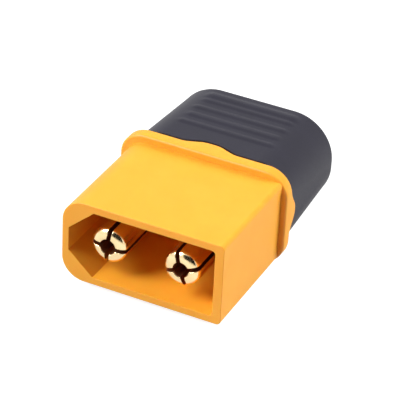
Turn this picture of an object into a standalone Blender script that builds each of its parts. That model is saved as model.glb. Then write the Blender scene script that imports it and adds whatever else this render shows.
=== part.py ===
"""Two-pole power connector, pin half, with a clipped sheath over its solder cups.

The connector lies on its collar. It is modelled round its own axis, which runs along Y:
the mouth faces -Y, the wires leave at +Y, X is across the two contacts and +Z is up.
All sizes are in metres. Distances "back" are measured from the front face towards +Y.
"""

import math

import bmesh
import bpy

MM = 0.001

# Shroud: the thin-walled box round the two contacts, keyed by its rounded left end.
SHROUD_WIDTH = 15.8 * MM
SHROUD_HEIGHT = 8.2 * MM
SHROUD_LENGTH = 11.85 * MM
SHROUD_KEYED_RADIUS = 2.2 * MM
SHROUD_SQUARE_RADIUS = 0.45 * MM
SHROUD_RIM_FILLET = 0.12 * MM
WALL_WIDE = 0.78 * MM
WALL_SQUARE_END = 0.86 * MM
WALL_KEYED_END = 0.65 * MM
CAVITY_DEPTH = 9.2 * MM
CAVITY_KEY_WIDTH = 2.35 * MM
CAVITY_KEY_HEIGHT = 2.2 * MM
CAVITY_SQUARE_RADIUS = 0.35 * MM

# Collar: the flange between shroud and sheath, with a low tab on each of its four sides.
COLLAR_PROUD_WIDE = 0.72 * MM
COLLAR_PROUD_END = 0.55 * MM
COLLAR_LENGTH = 1.27 * MM
COLLAR_RADIUS = 2.3 * MM
COLLAR_FRONT_FILLET = 0.35 * MM
COLLAR_REAR_FILLET = 0.1 * MM
WIDE_TAB_RISE = 0.7 * MM
WIDE_TAB_FLAT = 0.75 * MM
WIDE_TAB_FOOT = 2.65 * MM
END_TAB_RISE = 0.85 * MM
END_TAB_FLAT = 0.45 * MM
END_TAB_FOOT = 2.4 * MM

# Spigot: the solid block behind the collar that the sheath clips over.
SPIGOT_LENGTH = 2.5 * MM
SPIGOT_LEAD_IN = 0.3 * MM
BEAD_RADIUS = 0.5 * MM
BEAD_PROUD = 0.2 * MM
BEAD_LENGTH = 6.0 * MM
BEAD_BACK = 1.5 * MM

# Contacts: turned pins with four sprung tines in front and a solder cup behind.
CONTACT_PITCH = 7.2 * MM
PIN_DIAMETER = 3.5 * MM
PIN_RECESS = 0.45 * MM
NOSE_LENGTH = 0.8 * MM
PIN_BORE_DIAMETER = 1.76 * MM
SLOT_WIDTH = 0.4 * MM
SLOT_LENGTH = 6.6 * MM
SLOT_ROOT = 0.5 * MM
NEGATIVE_SLOT_TURN = 5.0
POSITIVE_SLOT_TURN = -17.0
SHOULDER_DIAMETER = 4.6 * MM
SHOULDER_LENGTH = 0.8 * MM
SHOULDER_STEP_BACK = 2.0 * MM
BARB_ROOT_DIAMETER = 4.1 * MM
BARB_LENGTH = 0.7 * MM
BARB_COUNT = 2
CUP_DIAMETER = 4.5 * MM
CUP_BORE_DIAMETER = 3.5 * MM
CUP_LENGTH = 4.2 * MM
CUP_SEATED = 1.0 * MM
CUP_BORE_DEPTH = 4.0 * MM
CUP_EDGE = 0.15 * MM
CUP_WINDOW_LENGTH = 3.0 * MM
CUP_WINDOW_ABOVE_AXIS = 0.3 * MM
CUP_WINDOW_SLOPE = 0.4

# Sheath: the tapered cover over the solder cups, with grip ribs and an open rear end.
SHEATH_LENGTH = 10.5 * MM
SHEATH_WALL = 1.0 * MM
SHEATH_INSET_WIDE = 0.06 * MM
SHEATH_INSET_END = 0.45 * MM
SHEATH_FRONT_RADIUS = 3.2 * MM
SHEATH_TAPER = 0.22 * MM
SHEATH_REAR_RADIUS = 4.3 * MM
SHEATH_FRONT_FILLET = 0.08 * MM
SHEATH_REAR_FILLET = 0.6 * MM
SHEATH_LIP_WIDTH = 0.35 * MM
SHEATH_LIP_LENGTH = 0.9 * MM
RIB_COUNT = 4
RIB_PITCH = 1.55 * MM
RIB_WIDTH = 0.7 * MM
RIB_HEIGHT = 0.1 * MM
RIB_HALF_LENGTH = 5.2 * MM
RIB_RUN_OUT = 1.0 * MM
RIB_FIRST_BACK = 3.0 * MM

# Clearances between the separate pieces.
SEAM_GAP = 0.3 * MM
FIT_GAP = 0.3 * MM

# Facets: points round each corner, along half of each side, and round each turned piece.
CORNER_STEPS = 8
WIDE_HALF_STEPS = 10
END_HALF_STEPS = 6
FILLET_STEPS = 3
NOSE_STEPS = 6
TURNED_SIDES = 40
BEAD_SIDES = 20
MIDDLE_CROWDING = 1.4
SHARP_EDGE_DEGREES = 35

# A corner keeps at least this radius when its outline is inset, and a cutter starts
# and ends this far outside the material.
LEAST_RADIUS = 0.02 * MM
CUTTER_OVERRUN = 1.0 * MM

# Values that follow from the sizes above.
COLLAR_HALF_WIDTH = SHROUD_WIDTH / 2 + COLLAR_PROUD_END
COLLAR_HALF_HEIGHT = SHROUD_HEIGHT / 2 + COLLAR_PROUD_WIDE
COLLAR_BACK = SHROUD_LENGTH + COLLAR_LENGTH
SPIGOT_BACK = COLLAR_BACK + SPIGOT_LENGTH
SHEATH_FRONT = COLLAR_BACK + SEAM_GAP
SHEATH_BACK = SHEATH_FRONT + SHEATH_LENGTH
AXIS_HEIGHT = COLLAR_HALF_HEIGHT
FRONT_FACE_Y = -SHEATH_BACK / 2


def ease(distance, flat, foot):
    """1 out to flat, 0 from foot on, and a smooth ramp between them."""
    share = min(max((distance - flat) / (foot - flat), 0.0), 1.0)
    return 0.5 + 0.5 * math.cos(math.pi * share)


def seam_rise(x, z):
    """How far the collar's tabs carry the seam back at a point of the outline."""
    if abs(x) < WIDE_TAB_FOOT:
        return WIDE_TAB_RISE * ease(abs(x), WIDE_TAB_FLAT, WIDE_TAB_FOOT)
    return END_TAB_RISE * ease(abs(z), END_TAB_FLAT, END_TAB_FOOT)


def crowded(count):
    """Shares of a straight side, closer together at its middle, without its end."""
    shares = []
    for step in range(count):
        offset = 2 * step / count - 1
        shares.append(0.5 + 0.5 * math.copysign(abs(offset) ** MIDDLE_CROWDING, offset))
    return shares


def rounded_outline(half_width, half_height, radii, inset=0.0):
    """Points (x, z) round a rectangle whose corners have their own radii.

    radii runs from the upper right corner anticlockwise, seen with +X to the right.
    """
    half_width = half_width - inset
    half_height = half_height - inset
    radii = [max(radius - inset, LEAST_RADIUS) for radius in radii]
    signs = [(1, 1), (-1, 1), (-1, -1), (1, -1)]
    steps = [END_HALF_STEPS * 2, WIDE_HALF_STEPS * 2] * 2
    points = []
    for index, (sign_x, sign_z) in enumerate(signs):
        radius = radii[index]
        centre = (sign_x * (half_width - radius), sign_z * (half_height - radius))
        turn = index * math.pi / 2
        arc = []
        for step in range(CORNER_STEPS + 1):
            angle = turn + step / CORNER_STEPS * math.pi / 2
            arc.append((centre[0] + radius * math.cos(angle), centre[1] + radius * math.sin(angle)))
        before_sign = signs[index - 1]
        before_radius = radii[index - 1]
        before_centre = (
            before_sign[0] * (half_width - before_radius),
            before_sign[1] * (half_height - before_radius),
        )
        start = (
            before_centre[0] + before_radius * math.cos(turn),
            before_centre[1] + before_radius * math.sin(turn),
        )
        for share in crowded(steps[index]):
            points.append(
                (start[0] + share * (arc[0][0] - start[0]), start[1] + share * (arc[0][1] - start[1]))
            )
        points.extend(arc[:-1])
    return points


def level(points, back):
    """The outline as a ring in one plane."""
    return [(x, back, z) for x, z in points]


def waved(points, back):
    """The outline as a ring that follows the seam between collar and sheath."""
    return [(x, back + seam_rise(x, z), z) for x, z in points]


def add_object(name, mesh_edit, location, material=None):
    """Turns a bmesh into an object with its faces pointing outwards."""
    bmesh.ops.recalc_face_normals(mesh_edit, faces=mesh_edit.faces)
    mesh = bpy.data.meshes.new(name)
    mesh_edit.to_mesh(mesh)
    mesh_edit.free()
    mesh.shade_smooth()
    mesh.set_sharp_from_angle(angle=math.radians(SHARP_EDGE_DEGREES))
    part = bpy.data.objects.new(name, mesh)
    part.location = location
    bpy.context.scene.collection.objects.link(part)
    if material:
        mesh.materials.append(material)
    return part


def loft(name, rings, location, material=None, ends_meet=False):
    """Skins rings of equal count, and closes the two ends unless they meet."""
    mesh_edit = bmesh.new()
    rows = [[mesh_edit.verts.new(point) for point in ring] for ring in rings]
    pairs = list(zip(rows, rows[1:]))
    if ends_meet:
        pairs.append((rows[-1], rows[0]))
    for low, high in pairs:
        for index in range(len(low)):
            after = (index + 1) % len(low)
            mesh_edit.faces.new((low[index], low[after], high[after], high[index]))
    if not ends_meet:
        mesh_edit.faces.new(rows[0])
        mesh_edit.faces.new(rows[-1])
    return add_object(name, mesh_edit, location, material)


def turned(name, profile, location, material=None):
    """Spins (radius, back) points about the Y axis. The first and last lie on the axis."""
    mesh_edit = bmesh.new()
    first = mesh_edit.verts.new((0, profile[0][1], 0))
    last = mesh_edit.verts.new((0, profile[-1][1], 0))
    rows = []
    for radius, back in profile[1:-1]:
        row = []
        for side in range(TURNED_SIDES):
            angle = 2 * math.pi * side / TURNED_SIDES
            row.append(mesh_edit.verts.new((radius * math.cos(angle), back, radius * math.sin(angle))))
        rows.append(row)
    for side in range(TURNED_SIDES):
        after = (side + 1) % TURNED_SIDES
        mesh_edit.faces.new((first, rows[0][side], rows[0][after]))
        mesh_edit.faces.new((last, rows[-1][after], rows[-1][side]))
        for low, high in zip(rows, rows[1:]):
            mesh_edit.faces.new((low[side], high[side], high[after], low[after]))
    return add_object(name, mesh_edit, location, material)


def helper(part):
    """Marks an object that only cuts or joins, so that it isn't a piece itself."""
    part.hide_render = True
    part.display_type = "WIRE"
    return part


def boolean(part, other, operation):
    """Cuts the other shape out of the part, or joins it on."""
    modifier = part.modifiers.new(other.name, "BOOLEAN")
    modifier.operation = operation
    modifier.solver = "EXACT"
    modifier.object = helper(other)


def plain_material(name, red, green, blue, roughness, metallic):
    material = bpy.data.materials.new(name)
    material.use_nodes = True
    surface = material.node_tree.nodes["Principled BSDF"]
    surface.inputs["Base Color"].default_value = (red, green, blue, 1)
    surface.inputs["Roughness"].default_value = roughness
    surface.inputs["Metallic"].default_value = metallic
    return material


def fillet(radius, steps=FILLET_STEPS):
    """Pairs (back, inset) round a front edge, from the face to the side."""
    pairs = []
    for step in range(steps + 1):
        angle = step / steps * math.pi / 2
        pairs.append((radius * (1 - math.cos(angle)), radius * (1 - math.sin(angle))))
    return pairs


def shroud_outline(inset=0.0):
    square = SHROUD_SQUARE_RADIUS
    keyed = SHROUD_KEYED_RADIUS
    return rounded_outline(
        SHROUD_WIDTH / 2, SHROUD_HEIGHT / 2, [square, keyed, keyed, square], inset
    )


def collar_outline(inset=0.0):
    return rounded_outline(COLLAR_HALF_WIDTH, COLLAR_HALF_HEIGHT, [COLLAR_RADIUS] * 4, inset)


def sheath_outline(back, inset=0.0):
    """The sheath's outer section at a distance back, which grows rounder as it tapers."""
    share = (back - SHEATH_FRONT) / SHEATH_LENGTH
    half_width = COLLAR_HALF_WIDTH - SHEATH_INSET_END
    half_height = COLLAR_HALF_HEIGHT - SHEATH_INSET_WIDE - SHEATH_TAPER * share
    radius = SHEATH_FRONT_RADIUS + (SHEATH_REAR_RADIUS - SHEATH_FRONT_RADIUS) * share
    return rounded_outline(half_width, half_height, [radius] * 4, inset)


def spigot_outline(inset=0.0):
    """Fits inside the sheath's wall at the spigot's rear end, where the sheath is narrower."""
    return sheath_outline(SPIGOT_BACK, SHEATH_WALL + FIT_GAP + inset)


def cavity_outline():
    """The mouth's section: two square corners on the right, two chamfered ones on the left."""
    right = SHROUD_WIDTH / 2 - WALL_SQUARE_END
    left = -SHROUD_WIDTH / 2 + WALL_KEYED_END
    top = SHROUD_HEIGHT / 2 - WALL_WIDE
    radius = CAVITY_SQUARE_RADIUS
    points = []
    for step in range(FILLET_STEPS + 1):
        angle = step / FILLET_STEPS * math.pi / 2
        points.append(
            (right - radius + radius * math.cos(angle), top - radius + radius * math.sin(angle))
        )
    points.append((left + CAVITY_KEY_WIDTH, top))
    points.append((left, top - CAVITY_KEY_HEIGHT))
    mirrored = [(x, -z) for x, z in reversed(points)]
    return points + mirrored


def place(x=0.0):
    """Where a piece's own origin goes: on its axis, at the front face."""
    return (x, FRONT_FACE_Y, AXIS_HEIGHT)


def bead(name, side, grown=0.0):
    """A bar across one wide face of the spigot, and grown, the groove that takes it."""
    face = max(z for x, z in spigot_outline())
    centre = side * (face + BEAD_PROUD - BEAD_RADIUS)
    back = COLLAR_BACK + BEAD_BACK
    radius = BEAD_RADIUS + grown
    section = []
    for step in range(BEAD_SIDES):
        angle = 2 * math.pi * step / BEAD_SIDES
        section.append((back + radius * math.cos(angle), centre + radius * math.sin(angle)))
    half_length = BEAD_LENGTH / 2 + grown
    rings = [[(x, y, z) for y, z in section] for x in (-half_length, half_length)]
    return loft(name, rings, place())


def build_housing(material):
    """Shroud, collar and spigot are one moulding, lofted from front to back."""
    rings = [level(shroud_outline(inset), back) for back, inset in fillet(SHROUD_RIM_FILLET)]
    rings.append(level(shroud_outline(), SHROUD_LENGTH))
    for back, inset in fillet(COLLAR_FRONT_FILLET):
        rings.append(level(collar_outline(inset), SHROUD_LENGTH + back))
    rings.append(waved(collar_outline(), COLLAR_BACK - COLLAR_REAR_FILLET))
    rings.append(waved(collar_outline(COLLAR_REAR_FILLET), COLLAR_BACK))
    rings.append(waved(spigot_outline(), COLLAR_BACK))
    rings.append(level(spigot_outline(), SPIGOT_BACK - SPIGOT_LEAD_IN))
    rings.append(level(spigot_outline(SPIGOT_LEAD_IN), SPIGOT_BACK))
    housing = loft("housing", rings, place(), material)

    for name, side in (("upper_bead", 1), ("lower_bead", -1)):
        boolean(housing, bead(name, side), "UNION")

    cavity = [level(cavity_outline(), back) for back in (-CUTTER_OVERRUN, CAVITY_DEPTH)]
    boolean(housing, loft("cavity_cutter", cavity, place()), "DIFFERENCE")

    pin_hole = PIN_DIAMETER / 2 + FIT_GAP
    shoulder_hole = SHOULDER_DIAMETER / 2 + FIT_GAP
    front = CAVITY_DEPTH - CUTTER_OVERRUN
    step_back = CAVITY_DEPTH + SHOULDER_STEP_BACK
    rear = SPIGOT_BACK + CUTTER_OVERRUN
    profile = [
        (0, front),
        (pin_hole, front),
        (pin_hole, step_back),
        (shoulder_hole, step_back),
        (shoulder_hole, rear),
        (0, rear),
    ]
    for name, side in (("negative_bore_cutter", -1), ("positive_bore_cutter", 1)):
        cutter = turned(name, profile, place(side * CONTACT_PITCH / 2))
        boolean(housing, cutter, "DIFFERENCE")
    return housing


def contact_profile():
    """(radius, back) points of a contact, from the bottom of its bore round to the cup's floor."""
    pin = PIN_DIAMETER / 2
    bore = PIN_BORE_DIAMETER / 2
    shoulder = SHOULDER_DIAMETER / 2
    root = BARB_ROOT_DIAMETER / 2
    cup = CUP_DIAMETER / 2
    cup_bore = CUP_BORE_DIAMETER / 2
    bore_floor = PIN_RECESS + SLOT_LENGTH + SLOT_ROOT
    points = [(0, bore_floor), (bore, bore_floor)]
    for step in range(NOSE_STEPS + 1):
        angle = step / NOSE_STEPS * math.pi / 2
        nose_back = PIN_RECESS + NOSE_LENGTH * (1 - math.cos(angle))
        points.append((bore + (pin - bore) * math.sin(angle), nose_back))
    shoulder_front = CAVITY_DEPTH + SHOULDER_STEP_BACK + FIT_GAP
    points.append((pin, shoulder_front))
    points.append((shoulder, shoulder_front))
    back = shoulder_front + SHOULDER_LENGTH
    points.append((shoulder, back))
    for barb in range(BARB_COUNT):
        points.append((root, back))
        back += BARB_LENGTH
        points.append((shoulder, back))
    points.append((root, back))
    cup_front = SPIGOT_BACK - CUP_SEATED
    cup_back = SPIGOT_BACK + CUP_LENGTH
    points.append((root, cup_front))
    points.append((cup, cup_front))
    points.append((cup, cup_back - CUP_EDGE))
    points.append((cup - CUP_EDGE, cup_back))
    points.append((cup_bore, cup_back))
    points.append((cup_bore, cup_back - CUP_BORE_DEPTH))
    points.append((0, cup_back - CUP_BORE_DEPTH))
    return points


def slot_section():
    """A plus sign, wider than the pin, whose arms are one saw cut wide."""
    arm = SLOT_WIDTH / 2
    reach = PIN_DIAMETER
    quarter = [(reach, -arm), (reach, arm), (arm, arm)]
    points = []
    for turn in range(4):
        for x, z in quarter:
            for _ in range(turn):
                x, z = -z, x
            points.append((x, z))
    return points


def build_contact(name, x, slot_turn, material):
    """A turned pin, sawn crosswise into four tines, with a window filed into its cup."""
    contact = turned(name, contact_profile(), place(x), material)

    slot_ends = (PIN_RECESS - CUTTER_OVERRUN, PIN_RECESS + SLOT_LENGTH)
    rings = [level(slot_section(), back) for back in slot_ends]
    slots = loft(name + "_slot_cutter", rings, place(x))
    slots.rotation_euler = (0, math.radians(slot_turn), 0)
    boolean(contact, slots, "DIFFERENCE")

    cup_back = SPIGOT_BACK + CUP_LENGTH
    window_front = cup_back - CUP_WINDOW_LENGTH
    window_back = cup_back + CUTTER_OVERRUN
    low = CUP_WINDOW_ABOVE_AXIS
    high = CUP_DIAMETER
    side_view = [
        (window_front, low),
        (window_back, low),
        (window_back, high),
        (window_front - (high - low) * CUP_WINDOW_SLOPE, high),
    ]
    rings = [[(across, y, z) for y, z in side_view] for across in (-high, high)]
    boolean(contact, loft(name + "_window_cutter", rings, place(x)), "DIFFERENCE")
    return contact


def ribbed(back, height):
    """A ring of the sheath's section with its two wide faces raised."""
    ring = []
    for x, z in sheath_outline(back):
        raised = height * ease(abs(x), RIB_HALF_LENGTH - RIB_RUN_OUT, RIB_HALF_LENGTH)
        ring.append((x, back, z + math.copysign(raised, z)))
    return ring


def build_sheath(material):
    """A tapered shell, skinned down its outside, in through the rear lip and back up its inside."""
    edge = SHEATH_FRONT_FILLET
    rings = [
        waved(sheath_outline(SHEATH_FRONT, edge), SHEATH_FRONT),
        waved(sheath_outline(SHEATH_FRONT), SHEATH_FRONT + edge),
    ]
    for rib in range(RIB_COUNT):
        middle = SHEATH_FRONT + RIB_FIRST_BACK + rib * RIB_PITCH
        rings.append(ribbed(middle - RIB_WIDTH / 2, 0))
        rings.append(ribbed(middle - RIB_WIDTH / 4, RIB_HEIGHT))
        rings.append(ribbed(middle + RIB_WIDTH / 4, RIB_HEIGHT))
        rings.append(ribbed(middle + RIB_WIDTH / 2, 0))
    for back, inset in reversed(fillet(SHEATH_REAR_FILLET)):
        rings.append(level(sheath_outline(SHEATH_BACK, inset), SHEATH_BACK - back))
    lip_front = SHEATH_BACK - SHEATH_LIP_LENGTH
    lip = sheath_outline(SHEATH_BACK, SHEATH_WALL + SHEATH_LIP_WIDTH)
    rings.append(level(lip, SHEATH_BACK))
    rings.append(level(lip, lip_front))
    rings.append(level(sheath_outline(lip_front, SHEATH_WALL), lip_front))
    rings.append(waved(sheath_outline(SHEATH_FRONT, SHEATH_WALL), SHEATH_FRONT))
    sheath = loft("sheath", rings, place(), material, ends_meet=True)

    for name, side in (("upper_groove_cutter", 1), ("lower_groove_cutter", -1)):
        boolean(sheath, bead(name, side, FIT_GAP), "DIFFERENCE")
    return sheath


def main():
    for old in list(bpy.data.objects):
        bpy.data.objects.remove(old)
    yellow_nylon = plain_material("yellow_nylon", 0.96, 0.50, 0.08, 0.45, 0.0)
    black_nylon = plain_material("black_nylon", 0.045, 0.043, 0.054, 0.55, 0.0)
    gold_plate = plain_material("gold_plate", 0.95, 0.68, 0.25, 0.25, 1.0)
    build_housing(yellow_nylon)
    build_contact("contact_negative", -CONTACT_PITCH / 2, NEGATIVE_SLOT_TURN, gold_plate)
    build_contact("contact_positive", CONTACT_PITCH / 2, POSITIVE_SLOT_TURN, gold_plate)
    build_sheath(black_nylon)


main()
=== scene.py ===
"""A two-pole power connector, pin half, photographed on a white table.

Each piece of the connector is modelled in full detail over the solid that carries it.
Everything is in metres: X across the two contacts, Y back from the mouth to the wires, Z up.
"""

import math

import bmesh
import bpy
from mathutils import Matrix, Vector


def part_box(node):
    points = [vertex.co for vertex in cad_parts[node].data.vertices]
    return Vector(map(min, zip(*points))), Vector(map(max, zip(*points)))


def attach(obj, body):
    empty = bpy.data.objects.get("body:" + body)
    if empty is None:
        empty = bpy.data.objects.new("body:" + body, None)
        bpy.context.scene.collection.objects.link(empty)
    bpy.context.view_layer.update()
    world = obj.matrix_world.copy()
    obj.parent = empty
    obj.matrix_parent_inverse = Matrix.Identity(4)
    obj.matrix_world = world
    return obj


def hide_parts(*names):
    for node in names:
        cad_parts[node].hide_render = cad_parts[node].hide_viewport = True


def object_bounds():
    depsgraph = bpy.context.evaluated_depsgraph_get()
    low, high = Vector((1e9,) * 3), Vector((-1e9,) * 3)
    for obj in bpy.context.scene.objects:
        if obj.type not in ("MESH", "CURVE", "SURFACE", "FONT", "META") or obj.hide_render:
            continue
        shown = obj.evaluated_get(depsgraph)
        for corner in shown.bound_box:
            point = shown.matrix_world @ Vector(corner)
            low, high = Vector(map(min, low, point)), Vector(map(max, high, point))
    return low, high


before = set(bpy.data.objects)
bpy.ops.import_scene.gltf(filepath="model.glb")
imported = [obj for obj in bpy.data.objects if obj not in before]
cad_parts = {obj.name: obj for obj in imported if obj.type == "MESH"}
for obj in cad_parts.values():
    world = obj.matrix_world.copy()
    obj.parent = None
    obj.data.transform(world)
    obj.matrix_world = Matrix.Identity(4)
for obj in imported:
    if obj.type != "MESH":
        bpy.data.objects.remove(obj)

solid_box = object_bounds()

# The housing is one injection moulding in yellow nylon: the keyed shroud round the mouth,
# the collar that stops it, with a low tab on each of its four sides, and behind the collar
# the block that both contacts are pressed into and the sheath clips over.
MM = 0.001
lowest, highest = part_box("housing")
RIM_Y = lowest.y
AXIS_Z = (lowest.z + highest.z) / 2
COLLAR_WIDTH = highest.x - lowest.x
COLLAR_HEIGHT = highest.z - lowest.z
BLOCK_BACK = highest.y - RIM_Y
SHROUD_WIDTH = 15.8 * MM
SHROUD_HEIGHT = 8.2 * MM
SHROUD_LENGTH = 11.85 * MM
KEYED_RADIUS = 2.2 * MM
SQUARE_RADIUS = 0.45 * MM
RIM_ROUND = 0.06 * MM
COLLAR_LENGTH = 1.2 * MM
COLLAR_RADIUS = 2.4 * MM
COLLAR_FRONT_ROUND = 0.22 * MM
COLLAR_REAR_ROUND = 0.1 * MM
COLLAR_REAR_BAND = 2.0 * MM
WIDE_TAB_RISE = 0.7 * MM
WIDE_TAB_FLAT = 0.46 * MM
WIDE_TAB_FOOT = 2.95 * MM
END_TAB_RISE = 0.98 * MM
END_TAB_FLAT = 0.2 * MM
END_TAB_FOOT = 2.4 * MM
END_TAB_LIFT = 0.45 * MM
BLOCK_WIDTH = 13.4 * MM
BLOCK_HEIGHT = 6.83 * MM
BLOCK_RADIUS = 2.13 * MM
BLOCK_LEAD_IN = 0.3 * MM
BEAD_RADIUS = 0.5 * MM
BEAD_PROUD = 0.2 * MM
BEAD_LENGTH = 6.0 * MM
BEAD_BACK = 1.5 * MM
BEAD_END_ROUND = 0.2 * MM
WALL_WIDE = 0.74 * MM
WALL_SQUARE_END = 0.86 * MM
WALL_KEYED_END = 0.65 * MM
MOUTH_DEPTH = 9.2 * MM
MOUTH_KEY_WIDTH = 2.45 * MM
MOUTH_KEY_HEIGHT = 2.2 * MM
MOUTH_RADIUS = 0.35 * MM
MOUTH_ROUND = 0.05 * MM
KEYED_STEPS = 20
SQUARE_STEPS = 8
COLLAR_STEPS = 40
COLLAR_FRONT_STEPS = 8
BLOCK_STEPS = 16
MOUTH_STEPS = 6
MOUTH_EDGE_STEPS = 2
EDGE_STEPS = 3
WIDE_SIDE_PARTS = 96
END_SIDE_PARTS = 48
BEAD_SIDES = 32
HOLE_SIDES = 64
CONTACT_PITCH = 7.2 * MM
PIN_HOLE = 3.54 * MM
PRESS_HOLE = 4.66 * MM
PRESS_HOLE_FRONT = 11.3 * MM
OVERRUN = 1.0 * MM
SMALL = 0.001 * MM
SMOOTH_ANGLE = math.radians(35)
COLLAR_BACK = SHROUD_LENGTH + COLLAR_LENGTH
YELLOW = "#FDB133"
DEEP_YELLOW = "#FBA525"


def pick(kind, test):
    """Selects the vertices, edges or faces of the mesh in edit mode whose middle passes the test."""
    bpy.ops.mesh.select_mode(type=kind)
    bpy.ops.mesh.select_all(action="DESELECT")
    mesh = bpy.context.object.data
    shape = bmesh.from_edit_mesh(mesh)
    if kind == "VERT":
        found = [(vertex, vertex.co) for vertex in shape.verts]
    elif kind == "EDGE":
        found = [(edge, (edge.verts[0].co + edge.verts[1].co) / 2) for edge in shape.edges]
    else:
        found = [(face, face.calc_center_median()) for face in shape.faces]
    for part, middle in found:
        if test(middle):
            part.select_set(True)
    shape.select_flush_mode()
    bmesh.update_edit_mesh(mesh)


def at(value, place):
    """Whether a coordinate is at a place, to a micrometre."""
    return abs(value - place) < SMALL


def start_piece(add, scale=(1, 1, 1), **settings):
    """Adds a primitive, puts its place into its mesh and opens it for editing."""
    bpy.ops.object.select_all(action="DESELECT")
    add(**settings)
    bpy.context.object.scale = scale
    bpy.ops.object.transform_apply(location=True, rotation=True, scale=True)
    bpy.ops.object.mode_set(mode="EDIT")


def upright_plate(width, height, back, x=0.0):
    """A rectangle that faces the mouth, at a distance behind the rim."""
    start_piece(
        bpy.ops.mesh.primitive_plane_add,
        scale=(width, height, 1),
        size=1,
        rotation=(math.pi / 2, 0, 0),
        location=(x, RIM_Y + back, AXIS_Z),
    )


def round_corners(radius, segments, test=lambda middle: True):
    """Rounds the corners of a flat plate that pass the test."""
    pick("VERT", test)
    bpy.ops.mesh.bevel(offset=radius, offset_type="OFFSET", segments=segments, affect="VERTICES")


def divide_sides():
    """Turns a plate into its outline, with its straight sides divided finely."""
    bpy.ops.mesh.select_all(action="SELECT")
    bpy.ops.mesh.delete(type="ONLY_FACE")
    sides = [
        (WIDE_SIDE_PARTS, lambda p: at(p.x, 0)),
        (END_SIDE_PARTS, lambda p: at(p.z, AXIS_Z)),
    ]
    for parts, on_middle in sides:
        pick("EDGE", on_middle)
        bpy.ops.mesh.subdivide(number_cuts=parts - 1)


def pull_tabs():
    """Draws the middle of each side of an outline back into the wave of the seam."""
    shape = bmesh.from_edit_mesh(bpy.context.object.data)
    half_width = max(vertex.co.x for vertex in shape.verts)
    half_height = max(vertex.co.z for vertex in shape.verts) - AXIS_Z

    def on_wide_tab(point):
        return at(abs(point.z - AXIS_Z), half_height) and abs(point.x) < WIDE_TAB_FLAT

    def on_end_tab(point):
        height = point.z - AXIS_Z - END_TAB_LIFT
        return at(abs(point.x), half_width) and abs(height) < END_TAB_FLAT

    tabs = [
        (on_wide_tab, WIDE_TAB_RISE, WIDE_TAB_FOOT - WIDE_TAB_FLAT),
        (on_end_tab, END_TAB_RISE, END_TAB_FOOT - END_TAB_FLAT),
    ]
    for on_tab, rise, run in tabs:
        pick("VERT", on_tab)
        bpy.ops.transform.translate(
            value=(0, rise, 0),
            use_proportional_edit=True,
            proportional_edit_falloff="SMOOTH",
            proportional_size=run,
        )


def draw_back(length):
    """Extrudes what is selected along the connector."""
    bpy.ops.mesh.extrude_region_move(TRANSFORM_OT_translate={"value": (0, length, 0)})


def round_edges(radius, segments, test):
    """Rounds the edges that pass the test."""
    pick("EDGE", test)
    bpy.ops.mesh.bevel(offset=radius, offset_type="OFFSET", segments=segments, affect="EDGES")


def close_shape():
    """Leaves edit mode with the shape's doubles merged and its faces pointing outwards."""
    bpy.ops.mesh.select_all(action="SELECT")
    bpy.ops.mesh.remove_doubles(threshold=SMALL / 2)
    bpy.ops.mesh.normals_make_consistent(inside=False)
    bpy.ops.object.mode_set(mode="OBJECT")
    return bpy.context.object


def choose(piece):
    """Makes one shape the only one selected, and the active one."""
    bpy.ops.object.select_all(action="DESELECT")
    piece.select_set(True)
    bpy.context.view_layer.objects.active = piece


def combine(piece, other, operation):
    """Joins the other shape on to the piece, or cuts it away, and removes the other."""
    choose(piece)
    modifier = piece.modifiers.new("combine", "BOOLEAN")
    modifier.solver = "EXACT"
    modifier.operation = operation
    modifier.object = other
    bpy.ops.object.modifier_apply(modifier=modifier.name)
    bpy.data.objects.remove(other)


def shade(piece):
    """Shades a piece smooth over its roundings, and keeps its flat faces looking flat."""
    choose(piece)
    bpy.ops.object.shade_smooth_by_angle(angle=SMOOTH_ANGLE)
    modifier = piece.modifiers.new("flat_faces", "WEIGHTED_NORMAL")
    modifier.keep_sharp = True
    bpy.ops.object.modifier_apply(modifier=modifier.name)


def rod(diameter, front, back, x):
    """A round bar along the connector, between two distances behind the rim."""
    start_piece(
        bpy.ops.mesh.primitive_cylinder_add,
        vertices=HOLE_SIDES,
        radius=diameter / 2,
        depth=back - front,
        rotation=(math.pi / 2, 0, 0),
        location=(x, RIM_Y + (front + back) / 2, AXIS_Z),
    )
    return close_shape()


def bead(side, grown=0.0):
    """A round bar across a wide face of the block, and grown, the groove that takes it."""
    reach = BEAD_LENGTH / 2 + grown
    start_piece(
        bpy.ops.mesh.primitive_cylinder_add,
        vertices=BEAD_SIDES,
        radius=BEAD_RADIUS + grown,
        depth=2 * reach,
        rotation=(0, math.pi / 2, 0),
        location=(
            0,
            RIM_Y + COLLAR_BACK + BEAD_BACK,
            AXIS_Z + side * (BLOCK_HEIGHT / 2 + BEAD_PROUD - BEAD_RADIUS),
        ),
    )
    round_edges(BEAD_END_ROUND, EDGE_STEPS, lambda p: at(abs(p.x), reach))
    return close_shape()


# The shroud's outline is drawn back from the rim into the collar, and its outer edge is broken.
upright_plate(SHROUD_WIDTH, SHROUD_HEIGHT, 0)
round_corners(KEYED_RADIUS, KEYED_STEPS, lambda p: p.x < 0)
round_corners(SQUARE_RADIUS, SQUARE_STEPS, lambda p: at(p.x, SHROUD_WIDTH / 2))
pick("FACE", lambda p: True)
draw_back(SHROUD_LENGTH + COLLAR_LENGTH / 2)
round_edges(RIM_ROUND, EDGE_STEPS, lambda p: at(p.y, RIM_Y))
housing = close_shape()
housing.name = "housing_moulding"

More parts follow.
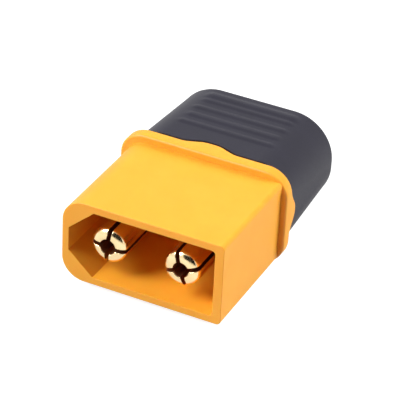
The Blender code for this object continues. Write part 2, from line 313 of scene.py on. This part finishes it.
# The collar starts as its rear face. The tabs are pulled back, and the front is drawn out flat.
# The band inset on the rear face carries the wave. What lies inside the band is covered by the
# block.
upright_plate(COLLAR_WIDTH, COLLAR_HEIGHT, COLLAR_BACK)
round_corners(COLLAR_RADIUS, COLLAR_STEPS)
divide_sides()
pull_tabs()
bpy.ops.mesh.select_all(action="SELECT")
bpy.ops.mesh.edge_face_add()
draw_back(-COLLAR_LENGTH)
bpy.ops.transform.resize(value=(1, 0, 1), center_override=(0, RIM_Y + SHROUD_LENGTH, AXIS_Z))
round_edges(COLLAR_REAR_ROUND, EDGE_STEPS, lambda p: p.y > RIM_Y + COLLAR_BACK - SMALL)
round_edges(COLLAR_FRONT_ROUND, COLLAR_FRONT_STEPS, lambda p: at(p.y, RIM_Y + SHROUD_LENGTH))
pick("FACE", lambda p: p.y > RIM_Y + COLLAR_BACK and max(abs(p.x), abs(p.z - AXIS_Z)) < MM)
bpy.ops.mesh.inset(thickness=COLLAR_REAR_BAND)
combine(housing, close_shape(), "UNION")

# The block behind the collar has a rounded lead-in and a bead across each wide face.
block_front = SHROUD_LENGTH + COLLAR_LENGTH / 4
upright_plate(BLOCK_WIDTH, BLOCK_HEIGHT, block_front)
round_corners(BLOCK_RADIUS, BLOCK_STEPS)
pick("FACE", lambda p: True)
draw_back(BLOCK_BACK - block_front)
round_edges(BLOCK_LEAD_IN, EDGE_STEPS, lambda p: at(p.y, RIM_Y + BLOCK_BACK))
combine(housing, close_shape(), "UNION")
for side in (-1, 1):
    combine(housing, bead(side), "UNION")

# The mouth has two square corners and, for the key, two that are cut off.
mouth_right = SHROUD_WIDTH / 2 - WALL_SQUARE_END
mouth_left = WALL_KEYED_END - SHROUD_WIDTH / 2
mouth_top = SHROUD_HEIGHT / 2 - WALL_WIDE
upright_plate(mouth_right - mouth_left, 2 * mouth_top, -OVERRUN, (mouth_right + mouth_left) / 2)
round_corners(MOUTH_RADIUS, MOUTH_STEPS, lambda p: p.x > 0)
for side in (-1, 1):
    bpy.ops.mesh.select_all(action="SELECT")
    bpy.ops.mesh.bisect(
        plane_co=(mouth_left, RIM_Y, AXIS_Z + side * (mouth_top - MOUTH_KEY_HEIGHT)),
        plane_no=Vector((-MOUTH_KEY_HEIGHT, 0, side * MOUTH_KEY_WIDTH)).normalized(),
        threshold=SMALL,
        clear_outer=True,
    )
pick("FACE", lambda p: True)
draw_back(OVERRUN + MOUTH_DEPTH)
combine(housing, close_shape(), "DIFFERENCE")

# Each contact is pressed in from behind, up to a step in its hole.
for side in (-1, 1):
    contact_x = side * CONTACT_PITCH / 2
    pin_hole = rod(PIN_HOLE, MOUTH_DEPTH - OVERRUN, PRESS_HOLE_FRONT + OVERRUN, contact_x)
    combine(housing, pin_hole, "DIFFERENCE")
    press_hole = rod(PRESS_HOLE, PRESS_HOLE_FRONT, BLOCK_BACK + OVERRUN, contact_x)
    combine(housing, press_hole, "DIFFERENCE")

choose(housing)
bpy.ops.object.mode_set(mode="EDIT")
round_edges(
    MOUTH_ROUND,
    MOUTH_EDGE_STEPS,
    lambda p: at(p.y, RIM_Y)
    and mouth_left - SMALL < p.x < mouth_right + SMALL
    and abs(p.z - AXIS_Z) < mouth_top + SMALL,
)
close_shape()
shade(housing)


def linear(code):
    """The linear colour of an sRGB hex value."""
    levels = [int(code[start : start + 2], 16) / 255 for start in (1, 3, 5)]
    return [
        level / 12.92 if level <= 0.04045 else ((level + 0.055) / 1.055) ** 2.4 for level in levels
    ] + [1]


def add_node(tree, kind, sockets, **settings):
    """Adds a node with its own settings, and gives each socket its value or its link."""
    made = tree.nodes.new(kind)
    for name, value in settings.items():
        setattr(made, name, value)
    for name, value in sockets.items():
        if isinstance(value, bpy.types.NodeSocket):
            tree.links.new(value, made.inputs[name])
        else:
            made.inputs[name].default_value = value
    return made


def new_material(name):
    """A material with nothing in its tree yet, and that tree."""
    material = bpy.data.materials.new(name)
    material.use_nodes = True
    material.node_tree.nodes.clear()
    return material, material.node_tree


# The grain of such a mould is about 0.04 mm wide. It is drawn nearly three times as coarse.
GRAIN_SIZE = 0.11 * MM
GRAIN_DEPTH = 0.012 * MM
FLOW_MARK_SIZE = 2.6 * MM


def moulded_nylon(name, light, deep, dullest, glossiest, grain_strength, finish):
    """Nylon with the fine grain of a spark-eroded mould, whose two shades drift with its flow."""
    material, tree = new_material(name)
    spot = add_node(tree, "ShaderNodeTexCoord", {}).outputs["Object"]
    flow = add_node(
        tree, "ShaderNodeTexNoise", {"Vector": spot, "Scale": 1 / FLOW_MARK_SIZE, "Detail": 3.0}
    )
    grain = add_node(
        tree, "ShaderNodeTexNoise", {"Vector": spot, "Scale": 1 / GRAIN_SIZE, "Detail": 2.0}
    )
    colour = add_node(
        tree,
        "ShaderNodeMix",
        {"Factor": flow.outputs["Fac"], "A": linear(light), "B": linear(deep)},
        data_type="RGBA",
    )
    gloss = add_node(
        tree,
        "ShaderNodeMapRange",
        {"Value": grain.outputs["Fac"], "To Min": glossiest, "To Max": dullest},
    )
    relief = add_node(
        tree,
        "ShaderNodeBump",
        {"Height": grain.outputs["Fac"], "Strength": grain_strength, "Distance": GRAIN_DEPTH},
    )
    surface = add_node(
        tree,
        "ShaderNodeBsdfPrincipled",
        {
            "Base Color": colour.outputs["Result"],
            "Roughness": gloss.outputs["Result"],
            "Normal": relief.outputs["Normal"],
            **finish,
        },
    )
    add_node(tree, "ShaderNodeOutputMaterial", {"Surface": surface.outputs["BSDF"]})
    return material


# Nylon straight from the mould: satin, faintly translucent where it is thin, with soft flow
# marks that shift its yellow a little.
yellow_nylon = moulded_nylon(
    "moulded_yellow_nylon",
    light=YELLOW,
    deep=DEEP_YELLOW,
    dullest=0.58,
    glossiest=0.46,
    grain_strength=0.25,
    finish={
        "IOR": 1.53,
        "Specular IOR Level": 0.6,
        "Subsurface Weight": 0.4,
        "Subsurface Scale": 0.4 * MM,
        "Subsurface Radius": (1.0, 0.4, 0.08),
    },
)
housing.data.materials.clear()
housing.data.materials.append(yellow_nylon)
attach(housing, "plug")
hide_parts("housing")

# Each contact is one turned brass pin, gold plated: a hollow nose sawn crosswise into four
# springy tines, a barbed shoulder that grips the housing when it is pressed in from behind,
# and a solder cup with a window filed into its upper side for the wire.
PIN_FRONT = 0.45 * MM
PIN_RADIUS = 1.75 * MM
PIN_BORE_RADIUS = 0.74 * MM
PIN_BORE_END = 7.55 * MM
BORE_LIP = 0.12 * MM
LIP_STEPS = 5
NOSE_LENGTH = 0.6 * MM
NOSE_STEPS = 16
SHOULDER_FRONT = 11.5 * MM
SHOULDER_LENGTH = 0.8 * MM
SHOULDER_RADIUS = 2.3 * MM
BARB_RADIUS = 2.05 * MM
BARB_LENGTH = 0.7 * MM
BARBS = 2
CUP_FRONT = BLOCK_BACK - MM
CUP_BACK = BLOCK_BACK + 4.2 * MM
CUP_RADIUS = 2.25 * MM
CUP_BORE_RADIUS = 1.75 * MM
CUP_BORE_DEPTH = 4.0 * MM
CUP_EDGE = 0.15 * MM
CUP_WINDOW_LENGTH = 3.0 * MM
CUP_WINDOW_RISE = 0.3 * MM
CUP_WINDOW_SLOPE = 0.4
SLOT_WIDTH = 0.4 * MM
SLOT_END = 7.05 * MM
PIN_SIDES = 72
PIN_EDGE = 0.05 * MM
SLIVER = 0.02 * MM
PLACES = {
    "contact_negative": {"side": -1, "slot_turn": 5.0},
    "contact_positive": {"side": 1, "slot_turn": -17.0},
}
GOLD = "#FFE9B8"
WORN_GOLD = "#F6D8A0"
# The dark brown below is painted shade for the pin's bore, slots and cup floor.
BORE_PAINTED_SHADE = "#966040"

# The turned profile runs from the bottom of the pin's bore, over the nose, back to the cup's
# floor. A small plate is drawn together into its first point, and each next one is extruded.
profile = [(0, PIN_BORE_END), (PIN_BORE_RADIUS, PIN_BORE_END)]
lip_radius = PIN_BORE_RADIUS + BORE_LIP
for step in range(LIP_STEPS):
    angle = step / LIP_STEPS * math.pi / 2
    profile.append(
        (lip_radius - BORE_LIP * math.cos(angle), PIN_FRONT + BORE_LIP * (1 - math.sin(angle)))
    )
for step in range(NOSE_STEPS + 1):
    angle = step / NOSE_STEPS * math.pi / 2
    swell = (PIN_RADIUS - lip_radius) * math.sin(angle)
    profile.append((lip_radius + swell, PIN_FRONT + NOSE_LENGTH * (1 - math.cos(angle))))
profile += [(PIN_RADIUS, SHOULDER_FRONT), (SHOULDER_RADIUS, SHOULDER_FRONT)]
for barb in range(BARBS + 1):
    barb_front = SHOULDER_FRONT + SHOULDER_LENGTH + barb * BARB_LENGTH
    profile += [(SHOULDER_RADIUS, barb_front), (BARB_RADIUS, barb_front)]
profile += [
    (BARB_RADIUS, CUP_FRONT),
    (CUP_RADIUS, CUP_FRONT),
    (CUP_RADIUS, CUP_BACK - CUP_EDGE),
    (CUP_RADIUS - CUP_EDGE, CUP_BACK),
    (CUP_BORE_RADIUS, CUP_BACK),
    (CUP_BORE_RADIUS, CUP_BACK - CUP_BORE_DEPTH),
    (0, CUP_BACK - CUP_BORE_DEPTH),
]
profile = [Vector((radius, RIM_Y + back, 0)) for radius, back in profile]
start_piece(bpy.ops.mesh.primitive_plane_add, size=SLOT_WIDTH, location=profile[0])
pick("VERT", lambda p: True)
bpy.ops.mesh.merge(type="CENTER")
for here, there in zip(profile, profile[1:]):
    bpy.ops.mesh.extrude_region_move(TRANSFORM_OT_translate={"value": there - here})
bpy.ops.mesh.select_all(action="SELECT")
bpy.ops.mesh.spin(steps=PIN_SIDES, angle=2 * math.pi, center=(0, RIM_Y, 0), axis=(0, 1, 0))
turned_pin = close_shape()
for width, height in ((SLOT_WIDTH, 4 * PIN_RADIUS), (4 * PIN_RADIUS, SLOT_WIDTH)):
    start_piece(
        bpy.ops.mesh.primitive_cube_add,
        scale=(width, SLOT_END - PIN_FRONT + OVERRUN, height),
        size=1,
        location=(0, RIM_Y + (SLOT_END + PIN_FRONT - OVERRUN) / 2, 0),
    )
    combine(turned_pin, close_shape(), "DIFFERENCE")


def set_contact(name, side, slot_turn):
    """A copy of the sawn pin, turned in its place, with its window filed and its edges polished."""
    contact = turned_pin.copy()
    contact.data = turned_pin.data.copy()
    contact.name = name + "_pin"
    bpy.context.scene.collection.objects.link(contact)
    contact.location = (side * CONTACT_PITCH / 2, 0, AXIS_Z)
    contact.rotation_euler = (0, math.radians(slot_turn), 0)
    choose(contact)
    bpy.ops.object.transform_apply(location=True, rotation=True, scale=True)

    # The window starts as a block over the cup, and its front is leant forwards.
    window_height = CUP_RADIUS + OVERRUN - CUP_WINDOW_RISE
    start_piece(
        bpy.ops.mesh.primitive_cube_add,
        scale=(4 * CUP_RADIUS, CUP_WINDOW_LENGTH + OVERRUN, window_height),
        size=1,
        location=(
            side * CONTACT_PITCH / 2,
            RIM_Y + CUP_BACK + (OVERRUN - CUP_WINDOW_LENGTH) / 2,
            AXIS_Z + CUP_WINDOW_RISE + window_height / 2,
        ),
    )
    pick("VERT", lambda p: p.y < RIM_Y + CUP_BACK - MM and p.z > AXIS_Z + CUP_RADIUS)
    bpy.ops.transform.translate(value=(0, -CUP_WINDOW_SLOPE * window_height, 0))
    combine(contact, close_shape(), "DIFFERENCE")

    choose(contact)
    bpy.ops.object.mode_set(mode="EDIT")
    bpy.ops.mesh.select_all(action="SELECT")
    bpy.ops.mesh.remove_doubles(threshold=SLIVER)
    bpy.ops.object.mode_set(mode="OBJECT")
    edge = contact.modifiers.new("polished_edge", "BEVEL")
    edge.width = PIN_EDGE
    edge.segments = EDGE_STEPS
    edge.limit_method = "ANGLE"
    edge.angle_limit = SMOOTH_ANGLE
    edge.use_clamp_overlap = False
    bpy.ops.object.modifier_apply(modifier=edge.name)
    shade(contact)
    return contact


# Gold over turned brass: bright and warm, with the lathe's fine rings round the axis, which
# draw a highlight out sideways. The rings are drawn about three times as coarse as real ones.
# The plating hardly reaches into the pin's bore and slots or the cup's floor, which stay dull.
# Their dark brown colour is painted shade for these deep recesses.
RING_SPACING = 0.13 * MM
RING_STRENGTH = 0.2
RING_DEPTH = 0.01 * MM
WEAR_SIZE = 1.2 * MM
LEAST_WEAR = 0.3
MOST_WEAR = 0.7
GLOSSIEST_GOLD = 0.13
DULLEST_GOLD = 0.24
OPEN_SHARE = 0.96
RECESSED_SHARE = 0.88
BORE_DULLNESS = 0.3
gold_plate, tree = new_material("gold_plated_brass")
spot = add_node(tree, "ShaderNodeTexCoord", {}).outputs["Object"]
along = add_node(tree, "ShaderNodeSeparateXYZ", {"Vector": spot}).outputs["Y"]
rings = add_node(
    tree,
    "ShaderNodeTexNoise",
    {"W": along, "Scale": 1 / RING_SPACING, "Detail": 3.0, "Roughness": 0.6},
    noise_dimensions="1D",
)
wear = add_node(
    tree, "ShaderNodeTexNoise", {"Vector": spot, "Scale": 1 / WEAR_SIZE, "Detail": 4.0}
)

# The dull part with its painted shade is found by a length that is 1 all over the outside of the
# pin and its nose, and shorter inside. The two contacts share it, because X counts to both sides.
either_side = add_node(tree, "ShaderNodeVectorMath", {0: spot}, operation="ABSOLUTE")
about_axis = add_node(
    tree,
    "ShaderNodeMapping",
    {
        "Vector": either_side.outputs["Vector"],
        "Location": (-CONTACT_PITCH / 2, 0, -AXIS_Z),
        "Scale": (1, 0, 1),
    },
)
radius = add_node(
    tree, "ShaderNodeVectorMath", {0: about_axis.outputs["Vector"]}, operation="LENGTH"
)
outwards = add_node(
    tree,
    "ShaderNodeMapRange",
    {"Value": radius.outputs["Value"], "From Min": lip_radius, "From Max": PIN_RADIUS},
)
forwards = add_node(
    tree,
    "ShaderNodeMapRange",
    {
        "Value": along,
        "From Min": RIM_Y + PIN_FRONT + NOSE_LENGTH,
        "From Max": RIM_Y + PIN_FRONT,
    },
)
on_nose = add_node(
    tree, "ShaderNodeCombineXYZ", {"X": outwards.outputs[0], "Y": forwards.outputs[0]}
)
skin_share = add_node(
    tree, "ShaderNodeVectorMath", {0: on_nose.outputs["Vector"]}, operation="LENGTH"
)
shaded_and_dull = add_node(
    tree,
    "ShaderNodeMapRange",
    {
        "Value": skin_share.outputs["Value"],
        "From Min": OPEN_SHARE,
        "From Max": RECESSED_SHARE,
    },
).outputs[0]

plating = add_node(
    tree,
    "ShaderNodeMix",
    {"Factor": wear.outputs["Fac"], "A": linear(GOLD), "B": linear(WORN_GOLD)},
    data_type="RGBA",
)
# Painted shade: the recesses are mixed towards a dark brown.
colour = add_node(
    tree,
    "ShaderNodeMix",
    {"Factor": shaded_and_dull, "A": plating.outputs["Result"], "B": linear(BORE_PAINTED_SHADE)},
    data_type="RGBA",
)
polish = add_node(
    tree,
    "ShaderNodeMapRange",
    {
        "Value": wear.outputs["Fac"],
        "From Min": LEAST_WEAR,
        "From Max": MOST_WEAR,
        "To Min": GLOSSIEST_GOLD,
        "To Max": DULLEST_GOLD,
    },
)
gloss = add_node(
    tree,
    "ShaderNodeMath",
    {0: shaded_and_dull, 1: BORE_DULLNESS, 2: polish.outputs["Result"]},
    operation="MULTIPLY_ADD",
)
relief = add_node(
    tree,
    "ShaderNodeBump",
    {"Height": rings.outputs["Fac"], "Strength": RING_STRENGTH, "Distance": RING_DEPTH},
)
surface = add_node(
    tree,
    "ShaderNodeBsdfPrincipled",
    {
        "Base Color": colour.outputs["Result"],
        "Roughness": gloss.outputs[0],
        "Normal": relief.outputs["Normal"],
        "Metallic": 1.0,
    },
)
add_node(tree, "ShaderNodeOutputMaterial", {"Surface": surface.outputs["BSDF"]})
for node, place in PLACES.items():
    contact = set_contact(node, place["side"], place["slot_turn"])
    contact.data.materials.clear()
    contact.data.materials.append(gold_plate)
    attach(contact, "plug")
    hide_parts(node)
bpy.data.objects.remove(turned_pin)

# The sheath is a black nylon moulding that covers the soldered wires. It pushes on over the
# block until its grooves close on the beads, and its front edge follows the collar's wave.
# Four shallow grip ribs cross each wide face, and a lip inside the rear end stiffens it.
SHEATH_GAP = 0.3 * MM
SHEATH_FRONT = COLLAR_BACK + SHEATH_GAP
SHEATH_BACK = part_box("sheath")[1].y - RIM_Y
SHEATH_WAVE_DEPTH = 2.2 * MM
SHEATH_LEVEL = SHEATH_FRONT + SHEATH_WAVE_DEPTH
SHEATH_LIP_WIDTH = 0.35 * MM
SHEATH_LIP_LENGTH = 0.9 * MM
SHEATH_LIP_FRONT = SHEATH_BACK - SHEATH_LIP_LENGTH
SHEATH_INSET_END = 0.45 * MM
SHEATH_INSET_WIDE = 0.06 * MM
SHEATH_TAPER = 0.22 * MM
SHEATH_WIDTH = COLLAR_WIDTH - 2 * SHEATH_INSET_END
SHEATH_FRONT_HEIGHT = COLLAR_HEIGHT - 2 * SHEATH_INSET_WIDE
SHEATH_REAR_HEIGHT = SHEATH_FRONT_HEIGHT - 2 * SHEATH_TAPER
SHEATH_FRONT_RADIUS = 3.2 * MM
SHEATH_REAR_RADIUS = 4.3 * MM
SHEATH_FRONT_ROUND = 0.06 * MM
SHEATH_REAR_ROUND = 0.6 * MM
SHEATH_WALL = 1.0 * MM
SHEATH_STEPS = 20
SHEATH_REAR_STEPS = 6
WAVE_RINGS = 12
RIB_RINGS = 70
RIB_FIRST = 16.42 * MM
RIB_PITCH = 1.55 * MM
RIBS = 4
RIB_FLANK = 0.5 * MM
RIB_HEIGHT = 0.09 * MM
REAR_RIDGE = 22.15 * MM
REAR_RIDGE_FLANK = 0.85 * MM
REAR_RIDGE_HEIGHT = 0.15 * MM
RIDGE_HALF_FLAT = 0.12 * MM
RIDGE_HALF_LENGTH = 4.5 * MM
BLACK = "#1E1C2A"
DEEP_BLACK = "#171521"


def sheath_plate(back, inset=0.0):
    """The sheath's section at a distance behind the rim, which grows rounder as it tapers."""
    share = (back - SHEATH_FRONT) / (SHEATH_BACK - SHEATH_FRONT)
    height = SHEATH_FRONT_HEIGHT + (SHEATH_REAR_HEIGHT - SHEATH_FRONT_HEIGHT) * share
    radius = SHEATH_FRONT_RADIUS + (SHEATH_REAR_RADIUS - SHEATH_FRONT_RADIUS) * share
    upright_plate(SHEATH_WIDTH - 2 * inset, height - 2 * inset, back)
    round_corners(radius - inset, SHEATH_STEPS)


def sheath_outline(back, inset=0.0):
    """The same section as an outline alone, finely divided."""
    sheath_plate(back, inset)
    divide_sides()


def join_shapes(shapes):
    """Puts shapes into one mesh and opens it for editing."""
    choose(shapes[0])
    for shape in shapes[1:]:
        shape.select_set(True)
    bpy.ops.object.join()
    bpy.ops.object.mode_set(mode="EDIT")


def skin(test, rings):
    """Joins the two outlines whose edges pass the test, with that many rings between them."""
    pick("EDGE", test)
    bpy.ops.mesh.bridge_edge_loops(number_cuts=rings, interpolation="LINEAR")


def fill(test):
    """Closes an outline whose edges pass the test with one face."""
    pick("EDGE", test)
    bpy.ops.mesh.edge_face_add()


# The outside is skinned over three outlines: the front one with the wave of the seam in it, one
# where the wave has levelled out, and one at the rear lip. Then the ribs, and a low swelling
# near the rear edge, are drawn out of it.
outlines = []
for back in (SHEATH_FRONT, SHEATH_LEVEL, SHEATH_LIP_FRONT):
    sheath_outline(back)
    if back == SHEATH_FRONT:
        pull_tabs()
    bpy.ops.object.mode_set(mode="OBJECT")
    outlines.append(bpy.context.object)
join_shapes(outlines)
skin(lambda p: p.y < RIM_Y + SHEATH_LEVEL + SMALL, WAVE_RINGS)
skin(lambda p: p.y > RIM_Y + SHEATH_LEVEL - SMALL, RIB_RINGS)
rib_top = SHEATH_REAR_HEIGHT / 2 - MM
ridges = [(RIB_FIRST + rib * RIB_PITCH, RIB_HEIGHT, RIB_FLANK) for rib in range(RIBS)]
ridges.append((REAR_RIDGE, REAR_RIDGE_HEIGHT, REAR_RIDGE_FLANK))
for back, rise, run in ridges:
    for side in (-1, 1):
        pick(
            "VERT",
            lambda p: abs(p.y - RIM_Y - back) < RIDGE_HALF_FLAT
            and abs(p.x) < RIDGE_HALF_LENGTH
            and side * (p.z - AXIS_Z) > rib_top,
        )
        bpy.ops.transform.translate(
            value=(0, 0, side * rise),
            use_proportional_edit=True,
            proportional_edit_falloff="SMOOTH",
            proportional_size=run,
        )

# The rear is drawn out as far as the lip's end, and the open front is capped and edged.
fill(lambda p: at(p.y, RIM_Y + SHEATH_LIP_FRONT))
draw_back(SHEATH_LIP_LENGTH)
round_edges(SHEATH_REAR_ROUND, SHEATH_REAR_STEPS, lambda p: at(p.y, RIM_Y + SHEATH_BACK))
sheath = bpy.context.object
bpy.ops.mesh.select_mode(type="EDGE")
bpy.ops.mesh.select_all(action="DESELECT")
bpy.ops.mesh.select_non_manifold()
bpy.ops.mesh.edge_face_add()
bpy.ops.mesh.bevel(
    offset=SHEATH_FRONT_ROUND, offset_type="OFFSET", segments=EDGE_STEPS, affect="EDGES"
)
pick("FACE", lambda p: p.y < RIM_Y + SHEATH_LEVEL and max(abs(p.x), abs(p.z - AXIS_Z)) < MM)
bpy.ops.mesh.inset(thickness=SHEATH_WALL)
close_shape()
sheath.name = "sheath_moulding"

# The inside narrows with the outside as far as the lip, and the lip is cut straight through.
inner = []
for back in (SHEATH_FRONT - OVERRUN, SHEATH_LIP_FRONT):
    sheath_outline(back, SHEATH_WALL)
    bpy.ops.object.mode_set(mode="OBJECT")
    inner.append(bpy.context.object)
join_shapes(inner)
skin(lambda p: True, 0)
fill(lambda p: at(p.y, RIM_Y + SHEATH_FRONT - OVERRUN))
fill(lambda p: at(p.y, RIM_Y + SHEATH_LIP_FRONT))
combine(sheath, close_shape(), "DIFFERENCE")
sheath_plate(SHEATH_BACK, SHEATH_WALL + SHEATH_LIP_WIDTH)
pick("FACE", lambda p: True)
draw_back(OVERRUN)
pick("FACE", lambda p: at(p.y, RIM_Y + SHEATH_BACK))
bpy.ops.transform.translate(value=(0, -SHEATH_LIP_LENGTH - OVERRUN, 0))
combine(sheath, close_shape(), "DIFFERENCE")
for side in (-1, 1):
    combine(sheath, bead(side, SHEATH_GAP), "DIFFERENCE")
shade(sheath)

# The same nylon with carbon black in it: near-black with a cool cast, satin, and its grain
# catches a soft grey sheen from the light above.
black_nylon = moulded_nylon(
    "moulded_black_nylon",
    light=BLACK,
    deep=DEEP_BLACK,
    dullest=0.56,
    glossiest=0.42,
    grain_strength=0.35,
    finish={"IOR": 1.45, "Specular IOR Level": 0.45},
)
sheath.data.materials.clear()
sheath.data.materials.append(black_nylon)
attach(sheath, "cover")
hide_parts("sheath")

# The table is a white sheet that runs on to the background. To the camera it is pure white,
# and nearly so in reflections, apart from the soft shadow under the connector.
TABLE_SIZE = 2.0
TABLE_DROP = 0.02 * MM
TABLE_WHITE = "#A4A4A4"
TABLE_LIFT = 0.85
MIRROR_LIFT = 0.6


def background_rays(tree):
    """Whether a ray comes from the camera, and whether it was mirrored or went through glass."""
    ray = add_node(tree, "ShaderNodeLightPath", {}).outputs
    mirrored = add_node(
        tree,
        "ShaderNodeMath",
        {0: ray["Is Glossy Ray"], 1: ray["Is Transmission Ray"]},
        use_clamp=True,
    )
    return ray["Is Camera Ray"], mirrored.outputs[0]


start_piece(bpy.ops.mesh.primitive_plane_add, size=TABLE_SIZE, location=(0, 0, -TABLE_DROP))
bpy.ops.object.mode_set(mode="OBJECT")
table = bpy.context.object
table.name = "table"
white_card, tree = new_material("white_card")
from_camera, mirrored = background_rays(tree)
seen = add_node(tree, "ShaderNodeMath", {0: from_camera, 1: TABLE_LIFT}, operation="MULTIPLY")
lift = add_node(
    tree,
    "ShaderNodeMath",
    {0: mirrored, 1: MIRROR_LIFT, 2: seen.outputs[0]},
    operation="MULTIPLY_ADD",
)
glow = add_node(tree, "ShaderNodeEmission", {"Strength": lift.outputs[0]})
matt = add_node(tree, "ShaderNodeBsdfDiffuse", {"Color": linear(TABLE_WHITE)})
both = add_node(tree, "ShaderNodeAddShader", {0: matt.outputs[0], 1: glow.outputs[0]})
add_node(tree, "ShaderNodeOutputMaterial", {"Surface": both.outputs[0]})
table.data.materials.append(white_card)

# A white tent glows all round, much dimmer as a light than it looks to the camera. One large
# soft lamp stands in front, above and to the left. Another, low behind on the right, is kept
# out of reflections.
TENT_LEVEL = 0.06
LAMP_DISTANCE = 0.6
LAMPS = {
    "front_lamp": {
        "toward": (-0.80, -0.74, 0.94),
        "size": 0.35,
        "watts": 4.6,
        "mirrored": True,
    },
    "side_lamp": {
        "toward": (0.60, 0.60, 0.53),
        "size": 0.45,
        "watts": 5.2,
        "mirrored": False,
    },
}
middle = (solid_box[0] + solid_box[1]) / 2
world = bpy.data.worlds.new("white_tent")
bpy.context.scene.world = world
world.use_nodes = True
tree = world.node_tree
tree.nodes.clear()
from_camera, mirrored = background_rays(tree)
seen = add_node(tree, "ShaderNodeMath", {0: from_camera, 1: mirrored}, use_clamp=True)
level = add_node(
    tree,
    "ShaderNodeMapRange",
    {"Value": seen.outputs[0], "To Min": TENT_LEVEL, "To Max": 1.0},
)
tent = add_node(
    tree, "ShaderNodeBackground", {"Color": (1, 1, 1, 1), "Strength": level.outputs["Result"]}
)
add_node(tree, "ShaderNodeOutputWorld", {"Surface": tent.outputs[0]})
for name, made in LAMPS.items():
    lamp_data = bpy.data.lights.new(name, "AREA")
    lamp_data.shape = "DISK"
    lamp_data.size = made["size"]
    lamp_data.energy = made["watts"]
    lamp = bpy.data.objects.new(name, lamp_data)
    bpy.context.scene.collection.objects.link(lamp)
    toward = Vector(made["toward"]).normalized()
    lamp.location = middle + toward * LAMP_DISTANCE
    lamp.rotation_euler = (-toward).to_track_quat("-Z", "Y").to_euler()
    lamp.visible_glossy = made["mirrored"]

# The bright metal mirrors what stands in front of it, so a black card takes the place of the
# dark camera there. It shows in reflections alone.
CARD_SIZE = (0.32, 0.24)
CARD_DISTANCE = 0.25
CARD_AZIMUTH = math.radians(22)
CARD_ELEVATION = math.radians(32)
CARD_BLACK = "#0A0A0A"
card_direction = Vector(
    (
        math.sin(CARD_AZIMUTH) * math.cos(CARD_ELEVATION),
        -math.cos(CARD_AZIMUTH) * math.cos(CARD_ELEVATION),
        math.sin(CARD_ELEVATION),
    )
)
start_piece(bpy.ops.mesh.primitive_plane_add, scale=(*CARD_SIZE, 1), size=1)
bpy.ops.object.mode_set(mode="OBJECT")
card = bpy.context.object
card.name = "black_card"
card.location = middle + card_direction * CARD_DISTANCE
card.rotation_euler = card_direction.to_track_quat("Z", "Y").to_euler()
card.visible_camera = False
card.visible_diffuse = False
card.visible_shadow = False
card.visible_transmission = False
black_card, tree = new_material("black_card")
dark = add_node(tree, "ShaderNodeBsdfDiffuse", {"Color": linear(CARD_BLACK)})
add_node(tree, "ShaderNodeOutputMaterial", {"Surface": dark.outputs[0]})
card.data.materials.append(black_card)

# A long lens looks down on the connector from in front and to its right.
CAMERA_PLACE = (0.071881, -0.156685, 0.114133)
CAMERA_TURN = (57.5296, -2.5775, 26.3290)
LENS_LENGTH = 200.789
SENSOR_WIDTH = 36.0
camera_data = bpy.data.cameras.new("long_lens")
camera_data.lens = LENS_LENGTH
camera_data.sensor_width = SENSOR_WIDTH
camera_data.clip_start = MM
camera = bpy.data.objects.new("long_lens", camera_data)
bpy.context.scene.collection.objects.link(camera)
camera.location = CAMERA_PLACE
camera.rotation_euler = [math.radians(turn) for turn in CAMERA_TURN]
bpy.context.scene.camera = camera
bpy.context.scene.view_settings.view_transform = "Standard"
